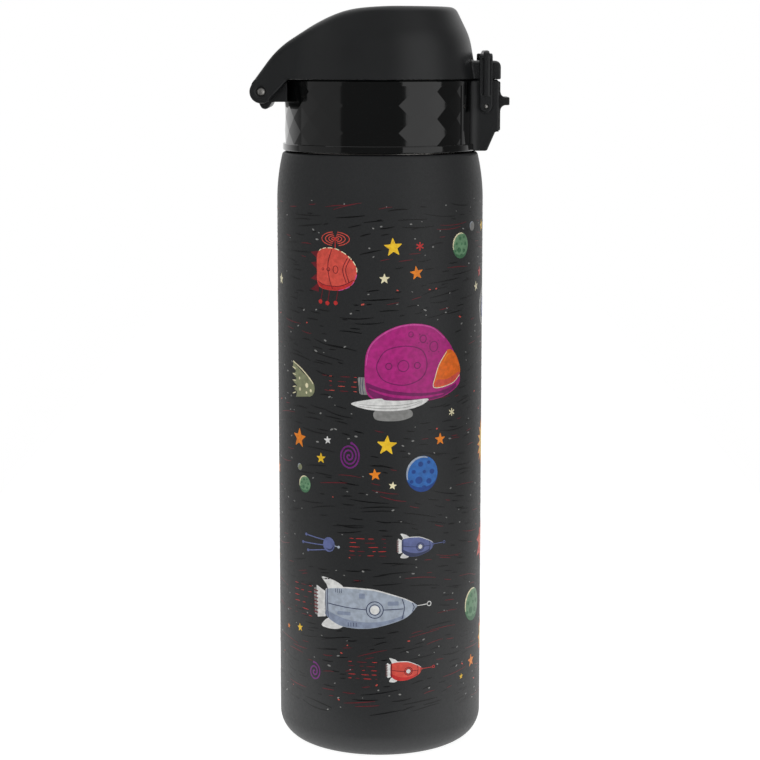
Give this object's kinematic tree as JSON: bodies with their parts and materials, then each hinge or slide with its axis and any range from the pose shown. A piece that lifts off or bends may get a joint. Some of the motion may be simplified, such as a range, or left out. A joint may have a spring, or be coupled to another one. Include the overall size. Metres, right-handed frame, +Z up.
{
  "type": "kids water bottle",
  "caption": "Slim steel drinking bottle with a screw-on lid, a hinged flip-top cap, a press-button latch and a safety bail.",
  "frame": {"origin": "on the bottle's axis, in the plane that its base ring stands on", "axes": "+Z up along the bottle, +X towards the latch and button, -X towards the cap's hinge, so Y runs along the hinge pin"},
  "size_m": [0.084, 0.068, 0.2451],
  "materials": {
    "powder_coat": "matte",
    "gloss_abs": "gloss",
    "satin_abs": "satin",
    "satin_pp": "satin",
    "silicone": "matte",
    "pin_steel": "bright",
    "screen_ink": "satin"
  },
  "bodies": {
    "bottle": {"bottle_shell": "powder_coat", "base_plate": "powder_coat"},
    "gasket": {"neck_gasket": "silicone"},
    "lid": {"collar_shell": "gloss_abs", "collar_liner": "satin_pp", "spout": "satin_pp", "vent_valve": "silicone", "hinge_pin": "pin_steel", "bail_pin_near": "pin_steel", "bail_pin_far": "pin_steel", "button_pin": "pin_steel", "button_spring": "pin_steel"},
    "cap": {"cap_shell": "satin_abs", "cap_liner": "satin_pp", "spout_seal": "silicone"},
    "button": {"latch_button": "satin_abs"},
    "bail": {"lock_bail": "satin_abs"}
  },
  "joints": [
    {"name": "lid_lift", "type": "slide", "parent": "bottle", "child": "gasket", "axis": [0, 0, 1], "range_m": [0, 0.00675]},
    {"name": "lid_turn", "type": "hinge", "parent": "gasket", "child": "lid", "pos_m": [0, 0, 0.2138], "axis": [0, 0, 1], "range_deg": [0, 540]},
    {"name": "cap_hinge", "type": "hinge", "parent": "lid", "child": "cap", "pos_m": [-0.0381, 0, 0.21795], "axis": [0, -1, 0], "range_deg": [0, 130]},
    {"name": "bail_swing", "type": "hinge", "parent": "lid", "child": "bail", "pos_m": [0.0343, 0, 0.2131], "axis": [0, 1, 0], "range_deg": [0, 160]},
    {"name": "button_press", "type": "hinge", "parent": "lid", "child": "button", "pos_m": [0.036, 0, 0.2073], "axis": [0, -1, 0], "range_deg": [0, 8], "stiffness_Nm_per_rad": 0.05, "deforming": ["button_spring"]}
  ],
  "couplings": [
    {"joint": "lid_lift", "follows": "lid_turn", "m_per_rad": 0.0007162}
  ]
}
